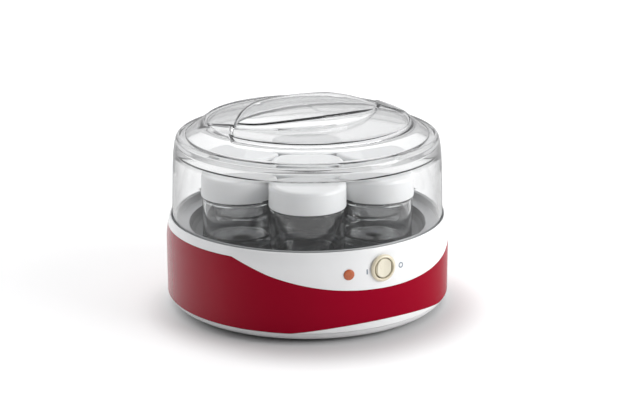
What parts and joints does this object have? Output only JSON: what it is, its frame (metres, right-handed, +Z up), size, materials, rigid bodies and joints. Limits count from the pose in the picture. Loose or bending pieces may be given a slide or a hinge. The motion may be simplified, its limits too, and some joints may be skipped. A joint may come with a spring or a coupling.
{
  "type": "yogurt maker",
  "caption": "Round yogurt maker with a heated base, front rocker switch and lamp, clear lid with a pinch grip, and capped glass jars.",
  "frame": {"origin": "on the floor under the centre of the base", "axes": "+Z up along the axis of the base, -Y to the front with the switch"},
  "size_m": [0.252, 0.2574, 0.179],
  "materials": {
    "white_plastic": "glossy",
    "red_plastic": "glossy",
    "dark_rubber": "matte",
    "grey_bowl": "satin",
    "steel": "satin",
    "heater_foil": "satin",
    "insulation": "matte",
    "black_plastic": "matte",
    "ivory_plastic": "matte",
    "lead_sleeve": "matte",
    "foil_plate": "satin",
    "cream_plastic": "glossy",
    "brass": "satin",
    "amber_lens": "glossy",
    "lamp_glass": "glossy",
    "clear_lid": "clear, glossy",
    "jar_glass": "clear",
    "cap_white": "satin"
  },
  "bodies": {
    "base": {"housing": "white_plastic", "red_band": "red_plastic", "base_pan": "white_plastic", "feet": "dark_rubber", "heating_bowl": "grey_bowl", "bowl_screws": "steel", "heater_ring": "heater_foil", "insulation_disc": "insulation", "clamp_plate": "steel", "clamp_nut": "steel", "thermostat": "black_plastic", "thermostat_bracket": "steel", "thermal_fuse": "steel", "terminal_block": "ivory_plastic", "cord_inlet": "dark_rubber", "harness": "lead_sleeve", "housing_screws": "steel", "rating_plate": "foil_plate", "switch_bezel": "cream_plastic", "switch_body": "black_plastic", "switch_terminals": "brass", "switch_pin": "steel", "indicator_lens": "amber_lens", "indicator_lamp": "lamp_glass", "lamp_clip": "black_plastic"},
    "rocker": {"rocker": "cream_plastic"},
    "lid": {"lid": "clear_lid"},
    "jar_1": {"jar_1": "jar_glass"},
    "cap_1": {"cap_1": "cap_white"},
    "jar_2": {"jar_2": "jar_glass"},
    "cap_2": {"cap_2": "cap_white"},
    "jar_3": {"jar_3": "jar_glass"},
    "cap_3": {"cap_3": "cap_white"},
    "jar_4": {"jar_4": "jar_glass"},
    "cap_4": {"cap_4": "cap_white"},
    "jar_5": {"jar_5": "jar_glass"},
    "cap_5": {"cap_5": "cap_white"},
    "jar_6": {"jar_6": "jar_glass"},
    "cap_6": {"cap_6": "cap_white"},
    "jar_7": {"jar_7": "jar_glass"},
    "cap_7": {"cap_7": "cap_white"}
  },
  "joints": [
    {"name": "switch_rock", "type": "hinge", "parent": "base", "child": "rocker", "pos_m": [0, -0.1228, 0.0629], "axis": [0, 0, 1], "range_deg": [-14, 0]},
    {"name": "lid_lift", "type": "slide", "parent": "base", "child": "lid", "axis": [0, 0, 1], "range_m": [0, 0.12]},
    {"name": "jar_1_lift", "type": "slide", "parent": "base", "child": "jar_1", "axis": [0, 0, 1], "range_m": [0, 0.062]},
    {"name": "cap_1_lift", "type": "slide", "parent": "jar_1", "child": "cap_1", "axis": [0, 0, 1], "range_m": [0, 0.032]},
    {"name": "jar_2_lift", "type": "slide", "parent": "base", "child": "jar_2", "axis": [0, 0, 1], "range_m": [0, 0.062]},
    {"name": "cap_2_lift", "type": "slide", "parent": "jar_2", "child": "cap_2", "axis": [0, 0, 1], "range_m": [0, 0.032]},
    {"name": "jar_3_lift", "type": "slide", "parent": "base", "child": "jar_3", "axis": [0, 0, 1], "range_m": [0, 0.062]},
    {"name": "cap_3_lift", "type": "slide", "parent": "jar_3", "child": "cap_3", "axis": [0, 0, 1], "range_m": [0, 0.032]},
    {"name": "jar_4_lift", "type": "slide", "parent": "base", "child": "jar_4", "axis": [0, 0, 1], "range_m": [0, 0.062]},
    {"name": "cap_4_lift", "type": "slide", "parent": "jar_4", "child": "cap_4", "axis": [0, 0, 1], "range_m": [0, 0.032]},
    {"name": "jar_5_lift", "type": "slide", "parent": "base", "child": "jar_5", "axis": [0, 0, 1], "range_m": [0, 0.062]},
    {"name": "cap_5_lift", "type": "slide", "parent": "jar_5", "child": "cap_5", "axis": [0, 0, 1], "range_m": [0, 0.032]},
    {"name": "jar_6_lift", "type": "slide", "parent": "base", "child": "jar_6", "axis": [0, 0, 1], "range_m": [0, 0.062]},
    {"name": "cap_6_lift", "type": "slide", "parent": "jar_6", "child": "cap_6", "axis": [0, 0, 1], "range_m": [0, 0.032]},
    {"name": "jar_7_lift", "type": "slide", "parent": "base", "child": "jar_7", "axis": [0, 0, 1], "range_m": [0, 0.062]},
    {"name": "cap_7_lift", "type": "slide", "parent": "jar_7", "child": "cap_7", "axis": [0, 0, 1], "range_m": [0, 0.032]}
  ],
  "couplings": [
    {"joint": "jar_1_lift", "follows": "lid_lift", "ratio": 0.5},
    {"joint": "cap_1_lift", "follows": "lid_lift", "ratio": 0.25},
    {"joint": "jar_2_lift", "follows": "lid_lift", "ratio": 0.5},
    {"joint": "cap_2_lift", "follows": "lid_lift", "ratio": 0.25},
    {"joint": "jar_3_lift", "follows": "lid_lift", "ratio": 0.5},
    {"joint": "cap_3_lift", "follows": "lid_lift", "ratio": 0.25},
    {"joint": "jar_4_lift", "follows": "lid_lift", "ratio": 0.5},
    {"joint": "cap_4_lift", "follows": "lid_lift", "ratio": 0.25},
    {"joint": "jar_5_lift", "follows": "lid_lift", "ratio": 0.5},
    {"joint": "cap_5_lift", "follows": "lid_lift", "ratio": 0.25},
    {"joint": "jar_6_lift", "follows": "lid_lift", "ratio": 0.5},
    {"joint": "cap_6_lift", "follows": "lid_lift", "ratio": 0.25},
    {"joint": "jar_7_lift", "follows": "lid_lift", "ratio": 0.5},
    {"joint": "cap_7_lift", "follows": "lid_lift", "ratio": 0.25}
  ]
}
